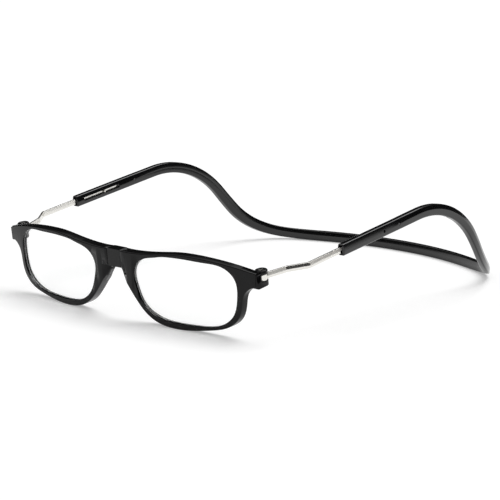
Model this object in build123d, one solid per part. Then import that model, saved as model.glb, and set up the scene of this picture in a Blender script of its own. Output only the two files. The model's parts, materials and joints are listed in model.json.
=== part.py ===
from build123d import *
from math import sin, cos, radians, sqrt
import os

# Magnetic bridge reading glasses. X runs across the face (the wearer's left is +X),
# Y runs back from the lenses to the neck, Z is up, and the table is at Z = 0.
# All lengths are in millimetres and all angles in degrees.

# Front: two moulded halves that meet at the bridge
front_half_width = 70.0
front_height = 31.4
front_tilt = 5.9
front_radius = 294.0
back_radius = 360.0
bridge_depth = 4.7
rim_edge_radius = 0.45
end_corner_radius = 0.5

# Lens opening
opening_nasal_x = 11.0
temporal_rim = 8.6
lower_rim = 2.6
upper_rim = 1.5
lens_setback = 0.9
lens_thickness = 1.5
lens_clearance = 0.04
groove_depth = 0.5
groove_width = 0.7

# Bridge block, its magnets and its rear cap
seam_x = -3.4
joint_x = 4.2
block_rise = 0.15
block_chamfer = 0.25
seam_gap = 0.05
bridge_height = 7.3
bridge_side_height = 10.0
arch_half_width = 4.2
bevel_x = 7.2
bevel_turn = 22.0
magnet_diameter = 3.2
magnet_length = 2.6
magnet_clearance = 0.03
magnet_depth = 2.3
magnet_face_sink = 0.05
cap_thickness = 1.1
cap_half_width = 3.4
cap_sink = 0.5
cap_foot = 1.4
cap_corner = 0.9
cap_edge_radius = 0.35

# Nose pads, moulded on the back of each half
pad_splay = 2.0
pad_length = 3.8
pad_half_height = 8.6
pad_middle_height = 12.5
pad_thickness = 2.4
pad_inset = 0.3
pad_edge_radius = 0.3

# Hinge at each end of the front
hinge_inset = 1.7
hinge_back = 2.67
hinge_level = 24.69
temple_pitch = 9.2
knuckle_diameter = 5.1
upper_knuckle_rise = 3.1
upper_lug_rise = 2.1
lower_knuckle_drop = 3.6
lug_reach = 5.0
slot_reach = 2.95
eye_diameter = 4.5
hinge_gap = 0.05
washer_thickness = 0.2
washer_diameter = 4.1
screw_diameter = 1.4
screw_head_diameter = 2.7
screw_head_height = 0.7
screw_head_sink = 0.3
screw_slot_width = 0.4
screw_slot_depth = 0.35
screw_clearance = 0.05
insert_diameter = 2.5
insert_height = 1.8
insert_clearance = 0.02
lug_edge_radius = 0.5

# Metal arms that slide in the band
arm_height = 2.4
arm_thickness = 1.2
arm_bend_x = 3.1
arm_bend_reach = 11.6
arm_step = 8.2
arm_line_reach = 18.9
arm_bend_radius = 1.6
arm_overlap = 27.7
rivet_back = 10.0
rivet_diameter = 1.0
rivet_stand = 0.95
rivet_clearance = 0.01

# Neck band
band_height = 4.9
band_thickness = 3.5
band_outer_edge = 1.1
band_inner_edge = 0.7
band_mouth_reach = 38.8
temple_straight = 44.1
hump_start_reach = 89.7
hump_radius = 48.8
drop_angle = 47.2
heel_radius = 45.2
side_radius = 530.0
side_turn = 5.0
corner_lead_radius = 65.8
corner_lead_turn = 32.0
corner_radius = 28.4
corner_turn = 61.9
channel_clearance = 0.08
mouth_depth = 1.6
mouth_flare = 0.75
slide_out = 12.8
slide_in = 8.7
window_height = 1.5
pin_diameter = 1.2
pin_clearance = 0.02
pin_sink = 0.15

overrun = 20.0
band_flatness = 0.02

# Outline of one half's top edge and lower edge: share of half width, share of height
brow_shares = [(0.2, 0.937), (0.343, 0.967), (0.471, 0.997), (0.55, 1.0), (0.671, 0.987), (0.829, 0.946)]
end_top_share = (0.999, 0.869)
end_low_share = (0.993, 0.685)
lower_edge_shares = [
    (0.957, 0.661), (0.919, 0.577), (0.903, 0.43), (0.877, 0.255), (0.813, 0.128), (0.693, 0.052),
    (0.543, 0.006), (0.436, 0.0), (0.321, 0.041), (0.234, 0.143), (0.165, 0.3), (0.116, 0.44),
]
seam_top_share = 0.933

# Outline of the lens opening about its centre: shares of its half width and half height
opening_shares = [
    (-0.04, 1.0), (0.43, 0.97), (0.8, 0.868), (0.968, 0.583), (1.0, 0.02), (0.913, -0.538),
    (0.659, -0.883), (0.23, -1.0), (-0.206, -1.0), (-0.587, -0.883), (-0.857, -0.51),
    (-0.964, -0.055), (-1.0, 0.348), (-0.897, 0.7), (-0.544, 0.919),
]


seam_top = seam_top_share * front_height
arch_height = seam_top - bridge_height
arch_side_height = seam_top - bridge_side_height
magnet_height = (arch_height + seam_top) / 2
arch_radius = (arch_half_width ** 2 + (arch_height - arch_side_height) ** 2) / (2 * (arch_height - arch_side_height))
opening_width = front_half_width - opening_nasal_x - temporal_rim
opening_height = front_height - lower_rim - upper_rim
opening_centre_x = opening_nasal_x + opening_width / 2
opening_centre_z = lower_rim + opening_height / 2


def surface_depth(x, radius):
    """How far a cylinder of this radius, touching the bridge line, has curved back at x."""
    return radius - sqrt(radius ** 2 - x ** 2)


def arch_level(x):
    """Height of the bridge's arched underside at x."""
    return arch_height - surface_depth(x, arch_radius)


def chain(start, heading, steps):
    """Edges of a path of straight runs and tangent arcs, with the point where it ends.

    A step is ("run", length) or ("arc", radius, turn), and a positive turn bends to the left.
    """
    edges, point, angle = [], Vector(*start), heading
    for step in steps:
        along = Vector(cos(radians(angle)), sin(radians(angle)))
        if step[0] == "run":
            end = point + along * step[1]
            edges.append(Line(point, end))
        else:
            edges.append(JernArc(start=point, tangent=along, radius=step[1], arc_size=step[2]))
            end = edges[-1] @ 1
            angle += step[2]
        point = end
    return edges, point


def strip(start, heading, steps, width):
    """Face of a constant-width strip along a path of runs and tangent arcs."""
    sides, ends = [], []
    for half in (width / 2, -width / 2):
        normal = Vector(-sin(radians(heading)), cos(radians(heading)))
        moved = Vector(*start) + normal * half
        shifted = []
        for step in steps:
            if step[0] == "run":
                shifted.append(step)
            else:
                shifted.append(("arc", step[1] - half * (1 if step[2] > 0 else -1), step[2]))
        edges, last = chain((moved.X, moved.Y), heading, shifted)
        sides += edges
        ends.append((moved, last))
    caps = [Line(ends[0][0], ends[1][0]), Line(ends[0][1], ends[1][1])]
    return make_face(sides + caps)


def slab(front_offset, back_offset, back_curve):
    """Curved plate behind the front's face, between two depths, in the front's own frame."""
    reach = front_half_width + lug_reach
    front_r = front_radius - front_offset
    near_end = front_offset + surface_depth(reach, front_r)
    far_end = back_offset + surface_depth(reach, back_curve)
    outline = make_face([
        ThreePointArc((-reach, near_end), (0, front_offset), (reach, near_end)),
        Line((reach, near_end), (reach, far_end)),
        ThreePointArc((reach, far_end), (0, back_offset), (-reach, far_end)),
        Line((-reach, far_end), (-reach, near_end)),
    ])
    return Pos(0, 0, -overrun) * extrude(outline, front_height + 2 * overrun)


def upright(face, start, length):
    """Prism of an outline drawn on the face of the front, from a depth backwards."""
    return Pos(0, start, 0) * Rot(90, 0, 0) * extrude(face, -length)


def half_points(shares):
    return [(x * front_half_width, z * front_height) for x, z in shares]


def half_outline(inner_x):
    """One half's outline from its bridge end out to the hinge end and back along the lower edge."""
    seam_high = (inner_x, seam_top)
    seam_low = (inner_x, arch_level(inner_x))
    arch_side = [(arch_half_width, arch_side_height)] if inner_x < arch_half_width else []
    end_top, end_low = half_points([end_top_share, end_low_share])
    brow = Spline([seam_high] + half_points(brow_shares) + [end_top])
    end = Line(end_top, end_low)
    lower = Spline([end_low] + half_points(lower_edge_shares) + arch_side + [seam_low])
    seam = Line(seam_low, seam_high)
    face = make_face([brow, end, lower, seam])
    return fillet(face.vertices().sort_by(Axis.X)[-2:], end_corner_radius)


def opening_face(grow):
    """Outline of the lens opening, grown all round by a distance."""
    points = [(opening_centre_x + x * (opening_width / 2 + grow),
               opening_centre_z + z * (opening_height / 2 + grow)) for x, z in opening_shares]
    return make_face(Spline(points + points[:1], tangents=[(1, 0), (1, 0)]))


def rim_plate(inner_x):
    """The half's curved plate with its face edge rounded, in the front's own frame."""
    body = upright(half_outline(inner_x), -overrun, 3 * overrun) & slab(0, bridge_depth, back_radius)
    return fillet([edge for edge in body.edges() if front_edge(edge, inner_x)], rim_edge_radius)


def front_edge(edge, inner_x):
    """True for the long edges where the face of the front meets its sides."""
    middle = edge @ 0.5
    face_depth = surface_depth(middle.X, front_radius)
    return abs(middle.Y - face_depth) < rim_edge_radius / 10 and middle.X > inner_x + rim_edge_radius


front_plate = rim_plate(joint_x)
front_low = (Rot(front_tilt, 0, 0) * front_plate).bounding_box().min.Z
front_place = Pos(0, 0, -front_low) * Rot(front_tilt, 0, 0)

hinge_x = front_half_width - hinge_inset
hinge_depth = bridge_depth + surface_depth(hinge_x, back_radius) + hinge_back
hinge_place = front_place * Pos(hinge_x, hinge_depth, hinge_level) * Rot(temple_pitch - front_tilt, 0, 0)
hinge_centre = hinge_place.position
arm_line_x = hinge_x + arm_step
arm_end_reach = band_mouth_reach + arm_overlap
rivet_reach = arm_end_reach - rivet_back
pin_reach = arm_end_reach + slide_in + pin_diameter / 2


def nose_pad():
    """Splayed pad behind the nasal edge, rounded in side view, in the front's own frame."""
    nasal = half_points(lower_edge_shares[-5:]) + [(arch_half_width, arch_side_height)]
    inner = Spline([(x + pad_inset, z) for x, z in nasal])
    outer = Spline([(x + pad_inset + pad_thickness, z) for x, z in nasal])
    ends = [Line(inner @ 0, outer @ 0), Line(inner @ 1, outer @ 1)]
    face = Pos(0, bridge_depth / 2, 0) * Rot(90, 0, 0) * make_face([inner, outer] + ends)
    splay = Vector(sin(radians(pad_splay)), cos(radians(pad_splay)), 0)
    fin = extrude(face, pad_length * 2, dir=splay)
    side = Pos(0, bridge_depth / 2, pad_middle_height) * Rot(0, 90, 0) * extrude(
        Ellipse(pad_half_height, pad_length), front_half_width, both=True)
    pad = fin & side
    rims = pad.faces().sort_by(lambda face: face.area)[-2:]
    rounded = [edge for edge in pad.edges() if (edge @ 0.5).Y > bridge_depth and
               any(edge in face.edges() for face in rims)]
    return fillet(rounded, pad_edge_radius)


def axis_prism(radius, low, high):
    """Round prism about the hinge axis, in the hinge's own frame."""
    return Pos(0, 0, low) * Cylinder(radius, high - low, align=(Align.CENTER, Align.CENTER, Align.MIN))


def axis_block(width, front, back, low, high):
    """Block that runs front to back past the hinge axis, in the hinge's own frame."""
    return Pos(0, front, low) * Box(width, back - front, high - low,
                                    align=(Align.CENTER, Align.MIN, Align.MIN))


slot_low = -arm_height / 2 - hinge_gap
slot_high = arm_height / 2 + 2 * hinge_gap + washer_thickness
insert_low = slot_low - hinge_gap - insert_height


def hinge_lugs():
    """The two moulded lugs that hold the arm's eye, with the slot between them."""
    knuckle = knuckle_diameter / 2
    lugs = axis_block(knuckle_diameter, -lug_reach, 0, -lower_knuckle_drop, upper_lug_rise)
    lugs += axis_prism(knuckle, -lower_knuckle_drop, upper_knuckle_rise)
    lugs = fillet(lugs.faces().sort_by(Axis.Z)[0].edges(), lug_edge_radius)
    lugs = fillet(lugs.faces().sort_by(Axis.Z)[-1].edges(), lug_edge_radius)
    return hinge_place * lugs


def hinge_cuts():
    """What is cut from the lugs: the slot, the screw's way and seat, and the insert's pocket."""
    slot = axis_block(overrun, -slot_reach, overrun, slot_low, slot_high)
    way = axis_prism(screw_diameter / 2 + screw_clearance, insert_low, upper_knuckle_rise)
    head = axis_prism(screw_head_diameter / 2 + screw_clearance,
                      upper_knuckle_rise - screw_head_height - screw_head_sink, upper_knuckle_rise + overrun)
    pocket = axis_prism(insert_diameter / 2 + insert_clearance,
                        insert_low - insert_clearance, slot_low + hinge_gap)
    return hinge_place * (slot + way + head + pocket)


def nasal_bevel():
    """Wedge cut from the face below the bridge, so that the face turns back towards the nose."""
    sink = bevel_x * sin(radians(bevel_turn)) / cos(radians(bevel_turn))
    face = surface_depth(bevel_x, front_radius)
    wedge = make_face(Polyline((bevel_x, face), (0, face + sink), (0, -overrun), (bevel_x, -overrun), close=True))
    return Pos(0, 0, -overrun) * extrude(wedge, arch_height + overrun)


def front_half(plate):
    """Moulded half front, drawn on the wearer's left side, with its pad, groove and hinge lugs."""
    body = plate - nasal_bevel() + nose_pad()
    body -= upright(opening_face(0), -overrun, 3 * overrun)
    middle = lens_setback + lens_thickness / 2
    groove = upright(opening_face(groove_depth), -overrun, 3 * overrun) & slab(
        middle - groove_width / 2, middle + groove_width / 2, front_radius - middle - groove_width / 2)
    body = front_place * (body - groove)
    return body + hinge_lugs() - hinge_cuts()


def lens():
    """Clear lens with the tongue round its edge that snaps into the half's groove."""
    middle = lens_setback + lens_thickness / 2
    tongue = groove_width / 2 - lens_clearance
    plate = upright(opening_face(-lens_clearance), -overrun, 3 * overrun) & slab(
        lens_setback, lens_setback + lens_thickness, front_radius - lens_setback - lens_thickness)
    rib = upright(opening_face(groove_depth - lens_clearance), -overrun, 3 * overrun) & slab(
        middle - tongue, middle + tongue, front_radius - middle - tongue)
    return front_place * (plate + rib)


def block_face(rise):
    """Front outline of the bridge block, with its arched underside."""
    top = seam_top + rise
    seam = seam_x + seam_gap
    return make_face([
        Line((seam, arch_level(seam)), (seam, top)),
        Line((seam, top), (joint_x, top)),
        Line((joint_x, top), (joint_x, arch_level(joint_x))),
        ThreePointArc((joint_x, arch_level(joint_x)), (0, arch_height), (seam, arch_level(seam))),
    ])


def seam_place(side, sink):
    """Place on one side of the seam, with Z running into that side from its face."""
    face = seam_x + (seam_gap if side > 0 else 0)
    return front_place * Pos(face + side * sink, magnet_depth, magnet_height) * Rot(0, 90 * side, 0)


def magnet(side):
    """Round magnet, set just below the seam's face."""
    return seam_place(side, magnet_face_sink) * Cylinder(
        magnet_diameter / 2, magnet_length, align=(Align.CENTER, Align.CENTER, Align.MIN))


def magnet_pocket(side):
    """Pocket of one magnet, open to the seam."""
    return seam_place(side, 0) * Cylinder(
        magnet_diameter / 2 + magnet_clearance, magnet_face_sink + magnet_length + magnet_clearance,
        align=(Align.CENTER, Align.CENTER, Align.MIN))


def bridge_block():
    """Block between the halves, bonded to the left one, with the pocket for its magnet."""
    body = upright(block_face(block_rise), -overrun, 3 * overrun) & slab(0, bridge_depth, back_radius)
    seams = body.faces().sort_by(Axis.X)
    body = chamfer(seams[0].edges() + seams[-1].edges(), block_chamfer)
    body = body - nasal_bevel() - mirror(nasal_bevel(), about=Plane.YZ)
    return front_place * body - magnet_pocket(1)


def bridge_cap():
    """Rounded cover on the back of the block, just below its top."""
    low = arch_height + cap_foot
    high = seam_top + block_rise - cap_sink
    middle = (seam_x + joint_x) / 2
    face = Pos(middle, (low + high) / 2) * RectangleRounded(2 * cap_half_width, high - low, cap_corner)
    seat = bridge_depth + surface_depth(middle + cap_half_width, back_radius)
    cap = Pos(0, seat, 0) * Rot(90, 0, 0) * extrude(face, -cap_thickness)
    return front_place * fillet(cap.faces().sort_by(Axis.Y)[-1].edges(), cap_edge_radius)


def hinge_screw():
    """Slotted screw that is the hinge's pin, held by the insert in the lower lug."""
    head_top = upper_knuckle_rise - screw_head_sink
    head = axis_prism(screw_head_diameter / 2, head_top - screw_head_height, head_top)
    head = chamfer(head.faces().sort_by(Axis.Z)[-1].edges(), screw_slot_width / 2)
    shank = axis_prism(screw_diameter / 2, insert_low, head_top - screw_head_height)
    drive = axis_block(screw_slot_width, -overrun, overrun, head_top - screw_slot_depth, overrun)
    return hinge_place * (head + shank - drive)


def hinge_insert():
    """Threaded metal bush set in the lower lug for the screw's end."""
    ring = axis_prism(insert_diameter / 2, insert_low, insert_low + insert_height)
    return hinge_place * (ring - axis_prism(screw_diameter / 2 + insert_clearance, -overrun, overrun))


def hinge_washer():
    """Thin slippery washer between the arm's eye and the upper lug."""
    low = arm_height / 2 + hinge_gap
    ring = axis_prism(washer_diameter / 2, low, low + washer_thickness)
    return hinge_place * (ring - axis_prism(screw_diameter / 2 + screw_clearance, -overrun, overrun))


def arm():
    """Flat metal arm: an eye, a short run, a jog outwards and a long straight slide."""
    path = FilletPolyline((0, 0), (arm_bend_x, arm_bend_reach), (arm_step, arm_line_reach),
                          (arm_step, arm_end_reach), radius=arm_bend_radius)
    start = Plane(origin=path @ 0, x_dir=(0, 0, 1), z_dir=path % 0)
    bar = sweep(start * Rectangle(arm_height, arm_thickness), path=path)
    eye = axis_prism(eye_diameter / 2, -arm_height / 2, arm_height / 2)
    hole = axis_prism(screw_diameter / 2 + screw_clearance, -overrun, overrun)
    return hinge_place * (bar + eye - hole - rivet_shank(rivet_clearance, overrun))


def rivet_shank(clearance, reach):
    """Round prism across the arm's rear end: the rivet's shank, or the hole that it fills."""
    place = Pos(arm_step + arm_thickness / 2 + reach, rivet_reach, 0) * Rot(0, -90, 0)
    return place * Cylinder(rivet_diameter / 2 + clearance, arm_thickness + rivet_stand + 2 * reach,
                            align=(Align.CENTER, Align.CENTER, Align.MIN))


def guide_rivet():
    """Rivet through the arm's end, whose nub rides in the band's window."""
    return hinge_place * rivet_shank(0, 0)


def band_centre_height(reach):
    return hinge_centre.Z + reach * sin(radians(temple_pitch))


def side_profile():
    """Side view of the band: the temple line, the ear hump, the drop and the neck on the table."""
    crest_turn = temple_pitch + drop_angle
    start = (hinge_centre.Y + band_mouth_reach * cos(radians(temple_pitch)), band_centre_height(band_mouth_reach))
    lead = hump_start_reach - band_mouth_reach
    drop = radians(drop_angle)
    hump_top = band_centre_height(hump_start_reach)
    hump_fall = hump_radius * (cos(drop) - cos(radians(temple_pitch)))
    after_hump = hump_top + hump_fall
    run = (after_hump - band_height / 2 - heel_radius * (1 - cos(drop))) / sin(drop)
    steps = [("run", lead), ("arc", hump_radius, -crest_turn), ("run", run),
             ("arc", heel_radius, drop_angle), ("run", overrun * 3)]
    return strip(start, temple_pitch, steps, band_height)


def plan_steps():
    """Plan view of one side of the band, from well ahead of its mouth to the middle of the neck."""
    x = arm_line_x - side_radius * (1 - cos(radians(side_turn)))
    x -= corner_lead_radius * (cos(radians(side_turn)) - cos(radians(corner_lead_turn)))
    x -= corner_radius * (cos(radians(corner_lead_turn)) - cos(radians(corner_turn)))
    neck_radius = x / cos(radians(corner_turn))
    return [("run", temple_straight + overrun), ("arc", side_radius, side_turn),
            ("arc", corner_lead_radius, corner_lead_turn - side_turn),
            ("arc", corner_radius, corner_turn - corner_lead_turn),
            ("arc", neck_radius, 90 - corner_turn)]


mouth_y = hinge_centre.Y + band_mouth_reach * cos(radians(temple_pitch))


def plan_strip():
    """Plan view of the whole band as one face."""
    half = strip((arm_line_x, mouth_y - overrun), 90, plan_steps(), band_thickness)
    return half + mirror(half, about=Plane.YZ)


def channel(side):
    """What the arm, its rivet, the stop pin and the window take out of one side of the band."""
    height = arm_height + 2 * channel_clearance
    width = arm_thickness + 2 * channel_clearance
    stop = pin_reach + pin_diameter / 2 + channel_clearance
    window_start = rivet_reach - rivet_diameter / 2 - slide_out
    bore_cut = Pos(arm_step, band_mouth_reach - overrun, 0) * Box(
        width, stop - band_mouth_reach + overrun, height, align=(Align.CENTER, Align.MIN, Align.CENTER))
    mouth = Pos(arm_step, band_mouth_reach - overrun, 0) * Box(
        width + mouth_flare, mouth_depth + overrun, height + 2 * mouth_flare,
        align=(Align.CENTER, Align.MIN, Align.CENTER))
    window_length = slide_out + rivet_diameter + slide_in + channel_clearance
    window = Pos(arm_step - band_thickness / 2, window_start, 0) * Box(
        band_thickness, window_length, window_height, align=(Align.CENTER, Align.MIN, Align.CENTER))
    hole = Pos(arm_step, pin_reach, 0) * Rot(0, 90, 0) * Cylinder(
        pin_diameter / 2 + pin_clearance, 2 * band_thickness)
    cut = hinge_place * (bore_cut + mouth + window + hole)
    return cut if side > 0 else mirror(cut, about=Plane.YZ)


def stop_pin():
    """Metal pin across the band behind the arm's end, which stops the arm going further in."""
    outer = band_thickness / 2 - pin_sink
    pin = Pos(arm_step - outer, pin_reach, 0) * Rot(0, 90, 0) * Cylinder(
        pin_diameter / 2, 2 * outer, align=(Align.CENTER, Align.CENTER, Align.MIN))
    return hinge_place * pin


def long_edges(body):
    """The band's long edges, where its walls meet its top and underside: outer ones and inner ones."""
    walls, ends = [], []
    for face in body.faces():
        normal = face.normal_at(face.center())
        if face.center().Y < mouth_y + band_thickness and face.area < 2 * band_height * band_thickness:
            continue
        if abs(normal.Z) < band_flatness:
            walls.append(face)
        elif abs(normal.X) < band_flatness:
            ends.append(face)
    rims = {edge for face in ends for edge in face.edges()}
    outer, inner = [], []
    for face in walls:
        middle = face.center()
        facing = face.normal_at(middle).dot(Vector(middle.X, middle.Y - neck_centre_y, 0))
        chosen = outer if facing > 0 else inner
        chosen += [edge for edge in face.edges() if edge in rims]
    return outer, inner


def neck_band():
    """One-piece moulded band over both ears and round the neck."""
    side = Plane.YZ * side_profile()
    body = extrude(side, 2 * front_half_width, both=True) & extrude(plan_strip(), 3 * front_height)
    outer, inner = long_edges(body)
    body = fillet(outer, band_outer_edge)
    outer, inner = long_edges(body)
    body = fillet(inner, band_inner_edge)
    return body - channel(1) - channel(-1)


def save(name, shape):
    """Moves a piece to the object's own origin and writes its file."""
    placed = centre_place * shape
    export_step(placed, "parts/" + name + ".step")
    print(name, placed.is_valid, round(placed.volume, 2), len(placed.solids()))


neck_centre_y = mouth_y + temple_straight
band = neck_band()
span = band.bounding_box()
block = bridge_block()
centre_place = Pos(0, -(block.bounding_box().min.Y + span.max.Y) / 2, 0)

left_half = front_half(front_plate)
right_half = mirror(front_half(rim_plate(-seam_x)), about=Plane.YZ) - magnet_pocket(-1)
mirrored = {
    "lens": lens(),
    "hinge_screw": hinge_screw(),
    "hinge_insert": hinge_insert(),
    "hinge_washer": hinge_washer(),
    "arm": arm(),
    "guide_rivet": guide_rivet(),
    "stop_pin": stop_pin(),
}

os.makedirs("parts", exist_ok=True)
save("neck_band", band)
save("front_left", left_half)
save("front_right", right_half)
save("bridge_block", block)
save("bridge_cap", bridge_cap())
save("magnet_left", magnet(1))
save("magnet_right", magnet(-1))
for name, shape in mirrored.items():
    save(name + "_left", shape)
    save(name + "_right", mirror(shape, about=Plane.YZ))
hinge_now = (centre_place * Pos(hinge_centre)).position
print("hinge axis passes through", [round(value, 3) for value in (hinge_now.X, hinge_now.Y, hinge_now.Z)])
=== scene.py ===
import bmesh
import bpy
import json
import numpy as np
from math import asin, cos, degrees, radians, sin
from mathutils import Matrix, Vector


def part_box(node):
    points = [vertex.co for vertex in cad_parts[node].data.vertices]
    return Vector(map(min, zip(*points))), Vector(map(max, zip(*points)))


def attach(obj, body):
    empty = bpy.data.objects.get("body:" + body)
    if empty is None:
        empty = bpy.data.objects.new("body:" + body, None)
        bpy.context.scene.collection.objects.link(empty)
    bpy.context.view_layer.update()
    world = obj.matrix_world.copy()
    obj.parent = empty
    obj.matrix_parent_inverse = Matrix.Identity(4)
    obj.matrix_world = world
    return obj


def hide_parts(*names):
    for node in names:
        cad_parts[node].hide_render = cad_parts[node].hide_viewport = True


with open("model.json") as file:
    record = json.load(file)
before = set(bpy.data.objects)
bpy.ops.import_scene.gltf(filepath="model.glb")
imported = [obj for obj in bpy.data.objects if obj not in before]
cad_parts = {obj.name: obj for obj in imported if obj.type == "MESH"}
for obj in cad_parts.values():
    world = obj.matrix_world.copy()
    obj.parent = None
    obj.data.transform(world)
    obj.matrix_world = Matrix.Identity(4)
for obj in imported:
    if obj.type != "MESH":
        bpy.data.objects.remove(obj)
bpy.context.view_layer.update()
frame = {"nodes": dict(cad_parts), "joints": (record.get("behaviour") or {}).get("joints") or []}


# The neck band is one black moulded strip over both ears and round the neck, polished by its mould. Its two
# sides rise to a faint ridge near half height, and its ends are bored for the arms, slotted inside for the
# guide rivets and drilled for the stop pins.
def plastic(name, colour, roughness, marks, grain, edge, gloss=0.5):
    """Moulded plastic: slow noise changes the roughness by marks, and fine noise gives the grain.

    The edge is how far its corners look rounded, and the gloss is how strongly it mirrors.
    """
    mark_scale, grain_scale, grain_height = 110, 3800, 0.00002
    material = bpy.data.materials.new(name)
    material.use_nodes = True
    tree = material.node_tree
    shader = tree.nodes["Principled BSDF"]
    shader.inputs["Base Color"].default_value = (*colour, 1)
    shader.inputs["IOR"].default_value = 1.5
    shader.inputs["Specular IOR Level"].default_value = gloss
    place = tree.nodes.new("ShaderNodeTexCoord")
    slow = tree.nodes.new("ShaderNodeTexNoise")
    slow.inputs["Scale"].default_value = mark_scale
    slow.inputs["Detail"].default_value = 4
    tree.links.new(place.outputs["Object"], slow.inputs["Vector"])
    spread = tree.nodes.new("ShaderNodeMapRange")
    spread.inputs["To Min"].default_value = roughness - marks
    spread.inputs["To Max"].default_value = roughness + marks
    tree.links.new(slow.outputs["Fac"], spread.inputs["Value"])
    tree.links.new(spread.outputs["Result"], shader.inputs["Roughness"])
    fine = tree.nodes.new("ShaderNodeTexNoise")
    fine.inputs["Scale"].default_value = grain_scale
    fine.inputs["Detail"].default_value = 2
    tree.links.new(place.outputs["Object"], fine.inputs["Vector"])
    rounding = tree.nodes.new("ShaderNodeBevel")
    rounding.samples = 8
    rounding.inputs["Radius"].default_value = edge
    bump = tree.nodes.new("ShaderNodeBump")
    bump.inputs["Strength"].default_value = grain
    bump.inputs["Distance"].default_value = grain_height
    tree.links.new(fine.outputs["Fac"], bump.inputs["Height"])
    tree.links.new(rounding.outputs["Normal"], bump.inputs["Normal"])
    tree.links.new(bump.outputs["Normal"], shader.inputs["Normal"])
    return material


def finish_node(name, material):
    """Gives a CAD piece its material."""
    frame["nodes"][name].material_slots[0].material = material


def bent_line(start, heading, steps, spacing):
    """Plane line whose heading turns evenly through each step, given as (length, turn in degrees).

    A point is the running sum of the cosine and the sine of the heading, times the spacing.
    """
    lengths, turns = np.array(steps).T
    knots = np.append(0, np.cumsum(lengths))
    headings = np.radians(heading + np.append(0, np.cumsum(turns)))
    along = np.linspace(0, knots[-1], int(knots[-1] / spacing) + 1)
    angle = np.interp(along, knots, headings)
    middle = (angle[1:] + angle[:-1]) / 2
    walk = np.stack([np.cos(middle), np.sin(middle)], 1) * along[1]
    return along, np.vstack([start, start + np.cumsum(walk, axis=0)]), angle


def rounded_outline(corners, reaches, count):
    """Closed outline whose corners are rounded: each is a parabola between points a reach away from it."""
    corners, reaches = np.array(corners), np.array(reaches)[:, None]
    before = np.roll(corners, 1, axis=0) - corners
    after = np.roll(corners, -1, axis=0) - corners
    first = corners + before / np.linalg.norm(before, axis=1, keepdims=True) * reaches
    last = corners + after / np.linalg.norm(after, axis=1, keepdims=True) * reaches
    t = np.linspace(0, 1, count)[None, :, None]
    curve = (1 - t) ** 2 * first[:, None] + 2 * t * (1 - t) * corners[:, None] + t ** 2 * last[:, None]
    return curve.reshape(-1, 2)


def grid_mesh(name, points, material):
    """Closed tube mesh over a grid of points, rows along it and columns round it, with both ends filled."""
    rows, columns = points.shape[:2]
    index = np.arange(rows * columns).reshape(rows, columns)
    near, far = index[:-1], index[1:]
    quads = np.stack([near, far, np.roll(far, -1, 1), np.roll(near, -1, 1)], 2).reshape(-1, 4)
    faces = quads.tolist() + [index[0].tolist(), index[-1, ::-1].tolist()]
    mesh = bpy.data.meshes.new(name)
    mesh.from_pydata(points.reshape(-1, 3), [], faces)
    turned = bmesh.new()
    turned.from_mesh(mesh)
    bmesh.ops.recalc_face_normals(turned, faces=turned.faces)
    turned.to_mesh(mesh)
    turned.free()
    mesh.shade_smooth()
    mesh.materials.append(material)
    piece = bpy.data.objects.new(name, mesh)
    bpy.context.scene.collection.objects.link(piece)
    return piece


def slide_points(side, across, reach, up):
    """Points in one mouth's own frame: across from the slide line, along it from the hinge, and up."""
    across, reach, up = np.broadcast_arrays(across, reach, up)
    return np.stack([side * (slide_x + across), hinge[1] + reach * slide[1] - up * slide[2],
                     hinge[2] + reach * slide[2] + up * slide[1]], -1)


def long_cutter(side, outline, low, high):
    """Cutter along the slide line, with an outline across and up, between two places along."""
    ends = np.array([[low], [high]])
    return grid_mesh("cutter", slide_points(side, outline[:, 0], ends, outline[:, 1]), band_plastic)


def cross_cutter(side, outline, low, high):
    """Cutter across the band, with an outline along and up, between two places across."""
    ends = np.array([[low], [high]])
    return grid_mesh("cutter", slide_points(side, ends, outline[:, 0], outline[:, 1]), band_plastic)


def rectangle(low, high, reach):
    """Outline of a rectangle from its low to its high corner, each corner rounded over a reach."""
    corner_points = 6
    corners = [(low[0], low[1]), (high[0], low[1]), (high[0], high[1]), (low[0], high[1])]
    return rounded_outline(corners, [reach] * 4, corner_points)


def circle(x, y, radius):
    """Outline of a circle: its middle plus the radius times the cosine and the sine of 32 even turns."""
    turn = np.linspace(0, 2 * np.pi, 33)[:-1]
    return np.stack([x + radius * np.cos(turn), y + radius * np.sin(turn)], 1)


def combine(piece, operation, blocks):
    """Adds blocks to a piece or cuts them out of it, one after the other, and removes them."""
    for block in blocks:
        change = piece.modifiers.new("change", "BOOLEAN")
        change.operation = operation
        change.solver = "EXACT"
        change.object = block
        with bpy.context.temp_override(object=piece, active_object=piece):
            bpy.ops.object.modifier_apply(modifier=change.name)
        bpy.data.objects.remove(block)


joints = {joint["name"]: joint for joint in frame["joints"]}
hinge = joints["front_left_hinge"]["pos_m"]
slide = joints["arm_left_slide"]["axis"]
band_height = 0.0049
band_thickness = 0.0035
slide_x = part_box("neck_band")[1].x - band_thickness / 2
mouth_reach = 0.0388
temple_straight = 0.0441
hump_start_reach = 0.0897
hump_radius = 0.0488
drop_angle = 47.2
heel_radius = 0.0452
side_bend = (0.53, 5.0)
lead_bend = (0.0658, 32.0)
corner_bend = (0.0284, 61.9)
side_spacing, row_spacing = 0.0002, 0.0006


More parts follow.
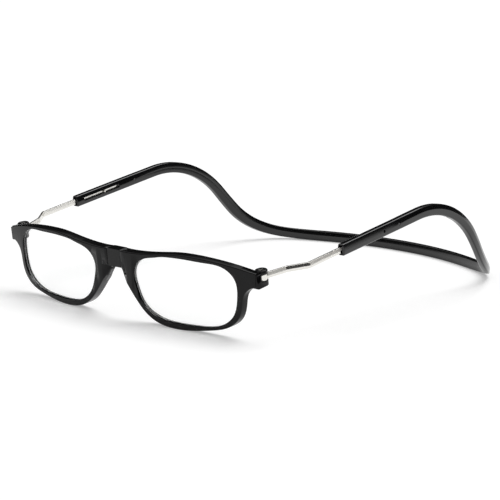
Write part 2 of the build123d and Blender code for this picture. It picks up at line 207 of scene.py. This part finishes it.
def side_line():
    """Side view of the band's middle line: temple, ear hump, drop and heel on to the table."""
    pitch = degrees(asin(slide[2]))
    start = np.array([hinge[1] + mouth_reach * slide[1], hinge[2] + mouth_reach * slide[2]])
    crest = hinge[2] + hump_start_reach * slide[2]
    fall = crest + hump_radius * (cos(radians(drop_angle)) - slide[1]) - band_height / 2
    heel_drop = heel_radius * (1 - cos(radians(drop_angle)))
    steps = [(hump_start_reach - mouth_reach, 0),
             (hump_radius * radians(pitch + drop_angle), -pitch - drop_angle),
             ((fall - heel_drop) / sin(radians(drop_angle)), 0),
             (heel_radius * radians(drop_angle), drop_angle),
             (heel_radius, 0)]
    return bent_line(start, pitch, steps, side_spacing)


def plan_line():
    """Plan view of the left half of the band's middle line, from its mouth to the middle of the neck.

    It is a straight temple and then arcs, each given by its radius and the heading where it ends. The last
    arc's radius brings it to the middle as it comes square to it.
    """
    steps, turned, x = [(temple_straight, 0)], 0.0, slide_x
    for radius, until in (side_bend, lead_bend, corner_bend):
        steps.append((radius * radians(until - turned), until - turned))
        x -= radius * (cos(radians(turned)) - cos(radians(until)))
        turned = until
    neck_radius = x / cos(radians(turned))
    steps.append((neck_radius * radians(90 - turned), 90 - turned))
    start = np.array([slide_x, hinge[1] + mouth_reach * slide[1]])
    return bent_line(start, 90, steps, row_spacing)


def band_section(outer, inner):
    """Section of the band, as points across and up.

    Each side is given by how far it draws in above and below, and by the height of its ridge.
    """
    edge, ridge, outer_foot, corner_points = 0.0006, 0.0003, 0.0007, 7
    half_width, half = band_thickness / 2, band_height / 2
    corners = [(half_width - outer[0], half), (half_width, outer[2]), (half_width - outer[1], -half),
               (inner[1] - half_width, -half), (-half_width, inner[2]), (inner[0] - half_width, half)]
    return rounded_outline(corners, [edge, ridge, outer_foot, edge, ridge, edge], corner_points)


def band_points():
    """Grid of the band's skin: rows along the middle line, columns round the section.

    The section turns from the sleeve's into the strip's, and draws in at the mouth by a quarter circle.
    A column lies across the plan line by its place across the section. Its height is that of the side line
    at the same place, and it then moves square to the side line by its place up the section.
    """
    end_round, end_rows, least_gap = 0.0009, 7, 0.0001
    fade_start, fade_length, least_sine = 0.03, 0.016, 0.2
    sleeve = band_section((0.0004, 0.0003, -0.0003), (0.0005, 0.0003, -0.0003))
    strip = band_section((0.0006, 0.0003, 0.0003), (0.0003, 0.0003, 0.0002))
    side_points, side_angle = side_line()[1:]
    along, points, angle = plan_line()
    early = end_round * (1 - np.cos(np.linspace(0, np.pi / 2, end_rows)))
    rows = np.append(early, along[along > end_round + least_gap])
    inset = end_round - np.sqrt(end_round ** 2 - np.maximum(end_round - rows, 0) ** 2)
    fade = np.clip((rows - fade_start) / fade_length, 0, 1)[:, None]
    fade = fade * fade * (3 - 2 * fade)
    across = ((1 - fade) * sleeve[:, 0] + fade * strip[:, 0]) * (1 - inset * 2 / band_thickness)[:, None]
    up = ((1 - fade) * sleeve[:, 1] + fade * strip[:, 1]) * (1 - inset * 2 / band_height)[:, None]
    turn = np.interp(rows, along, angle)
    base_y = np.interp(rows, along, points[:, 1])[:, None] - across * np.cos(turn)[:, None]
    slope = np.interp(base_y, side_points[:, 0], side_angle)
    height = np.interp(base_y, side_points[:, 0], side_points[:, 1])
    shift = -up * np.sin(slope) / np.maximum(np.sin(turn), least_sine)[:, None]
    place = rows[:, None] + shift
    turned = np.interp(place, along, angle)
    x = np.interp(place, along, points[:, 0]) + across * np.sin(turned)
    y = np.interp(place, along, points[:, 1]) - across * np.cos(turned) + np.minimum(place, 0)
    left = np.stack([x, y, height + up * np.cos(slope)], 2)
    right = left[-2::-1] * [-1, 1, 1]
    return np.concatenate([left, right])


band_plastic = plastic("band_plastic", colour=(0.004, 0.004, 0.0044), roughness=0.13, marks=0.03, grain=0.04,
                       edge=0.00008)
finish_node("neck_band", band_plastic)
band = grid_mesh("band_skin", band_points(), band_plastic)


def reach_of(name):
    """How far along the slide line a CAD piece's middle is from the hinge."""
    low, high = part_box(name)
    return ((low + high) / 2 - Vector(hinge)).dot(Vector(slide))


arm_height, arm_thickness, clearance = 0.0024, 0.0012, 0.00008
bore_half = (arm_thickness / 2 + clearance, arm_height / 2 + clearance)
mouth_flare = (0.000375, 0.00075)
mouth_half = (bore_half[0] + mouth_flare[0], bore_half[1] + mouth_flare[1])
mouth_depth, bore_corner, mouth_corner, window_corner = 0.0016, 0.0002, 0.0004, 0.0003
pin_reach, pin_radius = reach_of("stop_pin_left"), 0.0006
rivet_travel, window_length, window_half = 0.0133, 0.02258, 0.00075
window_start = reach_of("guide_rivet_left") - rivet_travel
window_end = window_start + window_length
dimple_reach, dimple_radius, dimple_floor = 0.0658, 0.00065, 0.0011
before_mouth, past_side = mouth_reach - 0.002, 0.003
for side in (1, -1):
    combine(band, "DIFFERENCE", [
        long_cutter(side, rectangle((-bore_half[0], -bore_half[1]), bore_half, bore_corner),
                    before_mouth, pin_reach + pin_radius),
        long_cutter(side, rectangle((-mouth_half[0], -mouth_half[1]), mouth_half, mouth_corner),
                    before_mouth, mouth_reach + mouth_depth),
        cross_cutter(side, rectangle((window_start, -window_half), (window_end, window_half), window_corner),
                     -past_side, 0),
        cross_cutter(side, circle(pin_reach, 0, pin_radius), -past_side, past_side),
        cross_cutter(side, circle(dimple_reach, 0, dimple_radius), dimple_floor, past_side),
    ])
band.data.set_sharp_from_angle(angle=radians(35))
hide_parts("neck_band")
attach(band, "band")


# The two half fronts are moulded in the same black plastic and tumbled to a satin face. Each has its nose
# pad and the two lugs of its hinge moulded on, and its opening flares behind the lens, most of all at the
# nose.
front_tilt, front_radius, rim_depth = radians(5.9), 0.294, 0.0049
lens_setback, lens_thickness = 0.0009, 0.0015
flare_start, flare_least, flare_nose, flare_low = 0.0001, 0.0003, 0.0028, 0.0009
flare_tuck, flare_overlap = 0.15, 0.0002


def mesh_points(name):
    """Corner points of a CAD piece, each one once."""
    mesh = frame["nodes"][name].data
    points = np.empty(len(mesh.vertices) * 3)
    mesh.vertices.foreach_get("co", points)
    return np.unique(np.round(points.reshape(-1, 3), 7), axis=0)


def front_curve(x):
    """How far the front has curved back at x."""
    return front_radius - np.sqrt(front_radius ** 2 - x ** 2)


def lens_outline(name):
    """Rim of a lens's front face as x and height in the front's own frame, in order, and its depth.

    The face's points are those least behind the front's curve. Their distances from the middle are read
    off at even bearings.
    """
    face_tolerance, bearings = 0.00002, 144
    points = mesh_points(name)
    depth = points[:, 1] * cos(front_tilt) + points[:, 2] * sin(front_tilt) - front_curve(points[:, 0])
    height = points[:, 2] * cos(front_tilt) - points[:, 1] * sin(front_tilt)
    face = depth < depth.min() + face_tolerance
    outline = np.stack([points[face, 0], height[face]], 1)
    middle = (outline.min(0) + outline.max(0)) / 2
    reach = outline - middle
    bearing = np.arctan2(reach[:, 1], reach[:, 0])
    even = np.linspace(-np.pi, np.pi, bearings + 1)[:-1]
    order = np.argsort(bearing)
    distance = np.interp(even, bearing[order], np.hypot(*reach[order].T), period=2 * np.pi)
    return middle + distance[:, None] * np.stack([np.cos(even), np.sin(even)], 1), depth.min()


def front_points(outline, depth):
    """World points of an outline in the front's own frame, at a depth behind the front's curve."""
    x, height = outline[..., 0], outline[..., 1]
    back = depth + front_curve(x)
    return np.stack([x, back * cos(front_tilt) - height * sin(front_tilt),
                     back * sin(front_tilt) + height * cos(front_tilt)], -1)


def outward(outline):
    """Unit normals of a closed outline that runs to the left, from the chord between its neighbours."""
    chord = np.roll(outline, -1, 0) - np.roll(outline, 1, 0)
    return np.stack([chord[:, 1], -chord[:, 0]], 1) / np.linalg.norm(chord, axis=1, keepdims=True)


def flare_cutter(side, outline, depth, material):
    """Cutter for the flare behind a lens: it widens with depth, most towards the nose and least above.

    Its width at the rim's back is the least one, plus the nose one times the square of the outline's turn
    to the nose, plus the low one times its turn downwards. It starts in the lens, a little inside its rim,
    and goes on behind the front at the same slope, through the side of the nose pad that faces the lens.
    """
    normal = outward(outline)
    wide = flare_least + flare_nose * np.maximum(-side * normal[:, 0], 0) ** 2
    wide = wide + flare_low * np.maximum(-normal[:, 1], 0)
    share = np.array([-flare_tuck, 0, 1, 2])[:, None, None]
    lens_back = depth + lens_thickness
    rim_back = depth - lens_setback + rim_depth
    level = np.array([lens_back - flare_overlap, lens_back + flare_start, rim_back,
                      2 * rim_back - lens_back - flare_start])
    rings = outline + share * (wide[:, None] * normal)
    return grid_mesh("cutter", front_points(rings, level[:, None]), material)


def merged_copy(name, source, material):
    """New piece from a CAD piece's mesh, with its loose triangles joined."""
    same_point = 0.000001
    mesh = frame["nodes"][source].data.copy()
    mesh.name = name
    joined = bmesh.new()
    joined.from_mesh(mesh)
    bmesh.ops.remove_doubles(joined, verts=joined.verts, dist=same_point)
    joined.to_mesh(mesh)
    joined.free()
    mesh.materials.clear()
    mesh.materials.append(material)
    piece = bpy.data.objects.new(name, mesh)
    bpy.context.scene.collection.objects.link(piece)
    return piece


frame_plastic = plastic("frame_plastic", colour=(0.003, 0.003, 0.0033), roughness=0.17, marks=0.04,
                        grain=0.07, edge=0.0001, gloss=0.22)
for side, end in ((1, "_left"), (-1, "_right")):
    finish_node("front" + end, frame_plastic)
    outline, depth = lens_outline("lens" + end)
    front = merged_copy("front_shell" + end, "front" + end, frame_plastic)
    combine(front, "DIFFERENCE", [flare_cutter(side, outline, depth, frame_plastic)])
    front.data.set_sharp_from_angle(angle=radians(30))
    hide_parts("front" + end)
    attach(front, "front" + end)


# The bridge block is moulded black plastic, bonded to the left half, and meets the right one at the seam.
# Its cap, of the same plastic, covers the magnet from behind. Both are a shade glossier than the halves.
bridge_plastic = plastic("bridge_plastic", colour=(0.003, 0.003, 0.0033), roughness=0.15, marks=0.03,
                         grain=0.06, edge=0.00014, gloss=0.26)
cap_plastic = plastic("cap_plastic", colour=(0.003, 0.003, 0.0033), roughness=0.2, marks=0.04, grain=0.06,
                      edge=0.0001)
finish_node("bridge_block", bridge_plastic)
finish_node("bridge_cap", cap_plastic)


# The lenses are clear moulded resin, polished on both faces. Their edge, with the tongue that snaps into
# the half's groove, is ground to a white frost.
def clear_resin():
    """Clear resin with faint smears in its polish, and white frost on its edge.

    A face is frosted where the forward part of its normal, taken without its sign, is under the limit.
    """
    smear_scale, smear_from, smear_to, smear_roughness, frost_limit = 60, 0.55, 0.8, 0.012, 0.6
    material = bpy.data.materials.new("lens_clear")
    material.use_nodes = True
    tree = material.node_tree
    shader = tree.nodes["Principled BSDF"]
    shader.inputs["Base Color"].default_value = (0.995, 1, 0.998, 1)
    shader.inputs["Transmission Weight"].default_value = 1
    shader.inputs["IOR"].default_value = 1.5
    place = tree.nodes.new("ShaderNodeTexCoord")
    smear = tree.nodes.new("ShaderNodeTexNoise")
    smear.inputs["Scale"].default_value = smear_scale
    tree.links.new(place.outputs["Object"], smear.inputs["Vector"])
    spread = tree.nodes.new("ShaderNodeMapRange")
    spread.inputs["From Min"].default_value = smear_from
    spread.inputs["From Max"].default_value = smear_to
    spread.inputs["To Max"].default_value = smear_roughness
    tree.links.new(smear.outputs["Fac"], spread.inputs["Value"])
    tree.links.new(spread.outputs["Result"], shader.inputs["Roughness"])
    frost = tree.nodes.new("ShaderNodeBsdfPrincipled")
    frost.inputs["Base Color"].default_value = (0.93, 0.94, 0.94, 1)
    frost.inputs["Roughness"].default_value = 0.7
    facing = tree.nodes.new("ShaderNodeSeparateXYZ")
    tree.links.new(place.outputs["Normal"], facing.inputs["Vector"])
    forward = tree.nodes.new("ShaderNodeMath")
    forward.operation = "ABSOLUTE"
    tree.links.new(facing.outputs["Y"], forward.inputs[0])
    sideways = tree.nodes.new("ShaderNodeMath")
    sideways.operation = "LESS_THAN"
    sideways.inputs[1].default_value = frost_limit
    tree.links.new(forward.outputs[0], sideways.inputs[0])
    mixed = tree.nodes.new("ShaderNodeMixShader")
    tree.links.new(sideways.outputs[0], mixed.inputs["Fac"])
    tree.links.new(shader.outputs[0], mixed.inputs[1])
    tree.links.new(frost.outputs[0], mixed.inputs[2])
    tree.links.new(mixed.outputs[0], tree.nodes["Material Output"].inputs["Surface"])
    return material


resin = clear_resin()
for name in ("lens_left", "lens_right"):
    finish_node(name, resin)


# The arms are stamped from nickel-plated steel, satin on their flat sides. Their upper outer edge is coined
# to a slant with fine slanting ridges, and they are bent to the jog and drilled for the hinge's screw.
def metal(name, colour, roughness, marks, scale, edge):
    """Metal whose roughness and small dents follow a noise of one scale, with a soft edge."""
    dent_strength, dent_height = 0.2, 0.00003
    material = bpy.data.materials.new(name)
    material.use_nodes = True
    tree = material.node_tree
    shader = tree.nodes["Principled BSDF"]
    shader.inputs["Base Color"].default_value = (*colour, 1)
    shader.inputs["Metallic"].default_value = 1
    place = tree.nodes.new("ShaderNodeTexCoord")
    noise = tree.nodes.new("ShaderNodeTexNoise")
    noise.inputs["Scale"].default_value = scale
    noise.inputs["Detail"].default_value = 3
    tree.links.new(place.outputs["Object"], noise.inputs["Vector"])
    spread = tree.nodes.new("ShaderNodeMapRange")
    spread.inputs["To Min"].default_value = roughness - marks
    spread.inputs["To Max"].default_value = roughness + marks
    tree.links.new(noise.outputs["Fac"], spread.inputs["Value"])
    tree.links.new(spread.outputs["Result"], shader.inputs["Roughness"])
    rounding = tree.nodes.new("ShaderNodeBevel")
    rounding.samples = 8
    rounding.inputs["Radius"].default_value = edge
    bump = tree.nodes.new("ShaderNodeBump")
    bump.inputs["Strength"].default_value = dent_strength
    bump.inputs["Distance"].default_value = dent_height
    tree.links.new(noise.outputs["Fac"], bump.inputs["Height"])
    tree.links.new(rounding.outputs["Normal"], bump.inputs["Normal"])
    tree.links.new(bump.outputs["Normal"], shader.inputs["Normal"])
    return material


eye_radius, eye_bore = 0.00225, 0.00078
arm_step, arm_bend_x, arm_bend_reach, arm_line_reach = 0.0082, 0.0031, 0.0116, 0.0189
arm_bend_radius, arm_end_reach = 0.0016, 0.0665
arm_spacing, arm_corner, arm_foot, eye_margin = 0.00012, 0.0001, 0.0002, 0.0004
slant_start, slant_end, slant_corners = 0.0002, -0.0001, 5
smooth_before, smooth_after = 0.0006, 0.0004
ridge_pitch, ridge_depth = 0.0009, 0.00009


def arm_line():
    """Plan view of an arm's middle line: straight from its eye, out through the jog, along the slide.

    A bend takes its radius times the tangent of half its turn off the runs that it joins.
    """
    runs = np.array([(arm_bend_x, arm_bend_reach), (arm_step - arm_bend_x, arm_line_reach - arm_bend_reach),
                     (0, arm_end_reach - arm_line_reach)])
    heading = np.degrees(np.arctan2(runs[:, 1], runs[:, 0]))
    turns = np.diff(heading)
    cut = arm_bend_radius * np.tan(np.radians(np.abs(turns)) / 2)
    straight = np.hypot(*runs.T) - np.append(0, cut) - np.append(cut, 0)
    bends = arm_bend_radius * np.radians(np.abs(turns))
    steps = [(straight[0], 0), (bends[0], turns[0]), (straight[1], 0), (bends[1], turns[1]),
             (straight[2], 0)]
    return bent_line(np.array([-arm_step, 0]), heading[0], steps, arm_spacing)


def arm_shell(side, material, coined):
    """Arm as a strip along its line, with a slanted upper edge outside, united with its drilled eye.

    Each row is the section laid across the line. On the slant, a slanting wave along the arm sinks the
    surface, except over the jog, where the slant is smooth.
    """
    half_width, half = arm_thickness / 2, arm_height / 2
    slant_across = np.linspace(slant_start, half_width, slant_corners)
    slant_up = np.linspace(half, slant_end, slant_corners)
    corners = [(-half_width, half), *zip(slant_across, slant_up), (half_width, -half), (-half_width, -half)]
    reaches = [arm_corner] * (slant_corners + 1) + [arm_foot, arm_corner]
    section = rounded_outline(corners, reaches, count=4)
    along, points, angle = arm_line()
    reach = points[:, 1]
    jog = (reach > arm_bend_reach - smooth_before) & (reach < arm_line_reach + smooth_after)
    slant = (section[:, 1] > slant_end) & (section[:, 0] > slant_start)
    wave = np.maximum(np.sin(2 * np.pi * (along[:, None] - section[:, 1]) / ridge_pitch), 0)
    ridged = ~jog & (reach > eye_radius + eye_margin)
    sink = ridge_depth * wave * slant * ridged[:, None]
    normal = np.stack([np.sin(angle), -np.cos(angle)], 1)[:, None]
    flat = points[:, None] + (section[:, 0] - sink)[..., None] * normal
    up = section[:, 1] - sink * 0.5
    arm = grid_mesh("arm", slide_points(side, flat[..., 0], flat[..., 1], up), material)
    arm.data.materials.append(coined)
    shine = np.zeros(len(arm.data.polygons), dtype=np.int32)
    shine[:-2] = (ridged[:-1, None] & slant & np.roll(slant, -1)).ravel()
    arm.data.polygons.foreach_set("material_index", shine)
    level = np.array([[-half], [half]])
    blocks = [circle(-arm_step, 0, radius) for radius in (eye_radius, eye_bore)]
    eye, bore = [grid_mesh("block", slide_points(side, block[:, 0], block[:, 1], level * grow), material)
                 for block, grow in zip(blocks, (1, 2))]
    combine(arm, "UNION", [eye])
    combine(arm, "DIFFERENCE", [bore])
    return arm


arm_steel = metal("arm_steel", colour=(0.8, 0.785, 0.745), roughness=0.22, marks=0.08, scale=1500,
                  edge=0.00008)
coined_steel = metal("coined_steel", colour=(0.7, 0.68, 0.64), roughness=0.5, marks=0.15, scale=1500,
                     edge=0.00005)
coined_metallic = 0.4
coined_steel.node_tree.nodes["Principled BSDF"].inputs["Metallic"].default_value = coined_metallic
for side, end in ((1, "_left"), (-1, "_right")):
    finish_node("arm" + end, arm_steel)
    arm = arm_shell(side, arm_steel, coined_steel)
    arm.name = "arm_strip" + end
    arm.data.set_sharp_from_angle(angle=radians(30))
    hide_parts("arm" + end)
    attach(arm, "arm" + end)


# A guide rivet of bright steel, pressed through each arm's end, shows in the window inside the temple. A
# blackened steel stop pin, pressed across the band, closes the bore behind it.
rivet_steel = metal("rivet_steel", colour=(0.75, 0.73, 0.68), roughness=0.25, marks=0.05, scale=2500,
                    edge=0.0001)
pin_steel = metal("pin_steel", colour=(0.09, 0.09, 0.09), roughness=0.35, marks=0.08, scale=2500,
                  edge=0.00008)
for end in ("_left", "_right"):
    finish_node("guide_rivet" + end, rivet_steel)
    finish_node("stop_pin" + end, pin_steel)


# Each hinge turns on a slotted steel screw, put in from above and held by a brass insert in the lower lug.
# A thin nylon washer lies between the arm's eye and the upper lug.
screw_steel = metal("screw_steel", colour=(0.62, 0.61, 0.58), roughness=0.22, marks=0.08, scale=2500,
                    edge=0.00008)
insert_brass = metal("insert_brass", colour=(0.8, 0.58, 0.28), roughness=0.3, marks=0.06, scale=1800,
                     edge=0.00005)
washer_nylon = plastic("washer_nylon", colour=(0.6, 0.59, 0.55), roughness=0.45, marks=0.05, grain=0.1,
                       edge=0.00003)
for end in ("_left", "_right"):
    finish_node("hinge_screw" + end, screw_steel)
    finish_node("hinge_insert" + end, insert_brass)
    finish_node("hinge_washer" + end, washer_nylon)


# The two magnets are round and nickel-plated. They are bonded into pockets, one in the block and one in the
# right half, just below the faces that meet at the seam.
magnet_nickel = metal("magnet_nickel", colour=(0.74, 0.72, 0.68), roughness=0.16, marks=0.04, scale=1800,
                      edge=0.00012)
for name in ("magnet_left", "magnet_right"):
    finish_node(name, magnet_nickel)


# The camera stands 0.9 m off the wearer's left front, a little above the glasses. Its place, its lens and
# its small roll are as they were fitted to the photograph.
camera_place = (0.59886, -0.69555, 0.20159)
camera_data = bpy.data.cameras.new("camera")
camera_data.sensor_width = 36
camera_data.lens = 152.47
camera_data.shift_x = -0.001
camera_data.shift_y = 0.001
camera = bpy.data.objects.new("camera", camera_data)
bpy.context.scene.collection.objects.link(camera)
azimuth, elevation, roll = radians(41.28), radians(11.55), radians(0.8)
back = Vector((sin(azimuth) * cos(elevation), -cos(azimuth) * cos(elevation), sin(elevation)))
right = Vector((cos(azimuth), sin(azimuth), 0))
up = back.cross(right)
turned_right = cos(roll) * right + sin(roll) * up
turned_up = cos(roll) * up - sin(roll) * right
camera.matrix_world = Matrix.Translation(camera_place) @ Matrix(
    (turned_right, turned_up, back)).transposed().to_4x4()
bpy.context.scene.camera = camera


# The set is a white table. It glows a little towards the camera, and keeps the shadows under the glasses.
def seen_share(tree):
    """Value of 1 for rays from the camera, mirrors and clear pieces, and 0 for light on the object.

    It is the largest of three of the light path's outputs.
    """
    path = tree.nodes.new("ShaderNodeLightPath")
    share = path.outputs["Is Camera Ray"]
    for ray in ("Is Transmission Ray", "Is Glossy Ray"):
        larger = tree.nodes.new("ShaderNodeMath")
        larger.operation = "MAXIMUM"
        tree.links.new(share, larger.inputs[0])
        tree.links.new(path.outputs[ray], larger.inputs[1])
        share = larger.outputs[0]
    return share


half_table, table_grey, table_glow = 3.0, 0.8, 0.32
table_corners = [(x * half_table, y * half_table, 0) for x, y in ((-1, -1), (1, -1), (1, 1), (-1, 1))]
floor_mesh = bpy.data.meshes.new("floor")
floor_mesh.from_pydata(table_corners, [], [(0, 1, 2, 3)])
floor = bpy.data.objects.new("floor", floor_mesh)
bpy.context.scene.collection.objects.link(floor)
floor_white = bpy.data.materials.new("floor_white")
floor_white.use_nodes = True
tree = floor_white.node_tree
shader = tree.nodes["Principled BSDF"]
shader.inputs["Base Color"].default_value = (table_grey, table_grey, table_grey, 1)
shader.inputs["Roughness"].default_value = 1
shader.inputs["Specular IOR Level"].default_value = 0
shader.inputs["Emission Color"].default_value = (1, 1, 1, 1)
glow = tree.nodes.new("ShaderNodeMath")
glow.operation = "MULTIPLY"
glow.inputs[1].default_value = table_glow
tree.links.new(seen_share(tree), glow.inputs[0])
tree.links.new(glow.outputs[0], shader.inputs["Emission Strength"])
floor_mesh.materials.append(floor_white)


# The room is white to the camera. Mirrored, it is white up to the horizon, dark above it to about 30
# degrees, and then pale overhead.
zenith_light, wall_light, fill_light = 0.9, ((0.004, 0.012), (0.5, 0.01), (0.64, 0.5), (0.8, 1.0)), 0.45
world = bpy.data.worlds.new("studio")
bpy.context.scene.world = world
world.use_nodes = True
tree = world.node_tree
background = tree.nodes["Background"]
place = tree.nodes.new("ShaderNodeTexCoord")
split = tree.nodes.new("ShaderNodeSeparateXYZ")
tree.links.new(place.outputs["Generated"], split.inputs["Vector"])
ramp = tree.nodes.new("ShaderNodeValToRGB")
stops = ramp.color_ramp.elements
stops[0].position, stops[0].color = 0.0, (1, 1, 1, 1)
stops[1].position, stops[1].color = 1.0, (zenith_light, zenith_light, zenith_light, 1)
for position, level in wall_light:
    stop = stops.new(position)
    stop.color = (level, level, level, 1)
tree.links.new(split.outputs["Z"], ramp.inputs["Fac"])
path = tree.nodes.new("ShaderNodeLightPath")
mirrored = tree.nodes.new("ShaderNodeMix")
mirrored.data_type = "RGBA"
mirrored.inputs["A"].default_value = (1, 1, 1, 1)
tree.links.new(path.outputs["Is Glossy Ray"], mirrored.inputs["Factor"])
tree.links.new(ramp.outputs["Color"], mirrored.inputs["B"])
tree.links.new(mirrored.outputs["Result"], background.inputs["Color"])
strength = tree.nodes.new("ShaderNodeMapRange")
strength.inputs["To Min"].default_value = fill_light
strength.inputs["To Max"].default_value = 1.0
tree.links.new(seen_share(tree), strength.inputs["Value"])
tree.links.new(strength.outputs["Result"], background.inputs["Strength"])


# One broad soft light hangs overhead, a little behind the glasses, and throws their shadows forwards.
sun_data = bpy.data.lights.new("overhead", "SUN")
sun_data.energy = 1.6
sun_data.angle = radians(42)
sun = bpy.data.objects.new("overhead", sun_data)
bpy.context.scene.collection.objects.link(sun)
sun.rotation_euler = (radians(-23), 0, 0)

bpy.context.scene.view_settings.view_transform = "Standard"
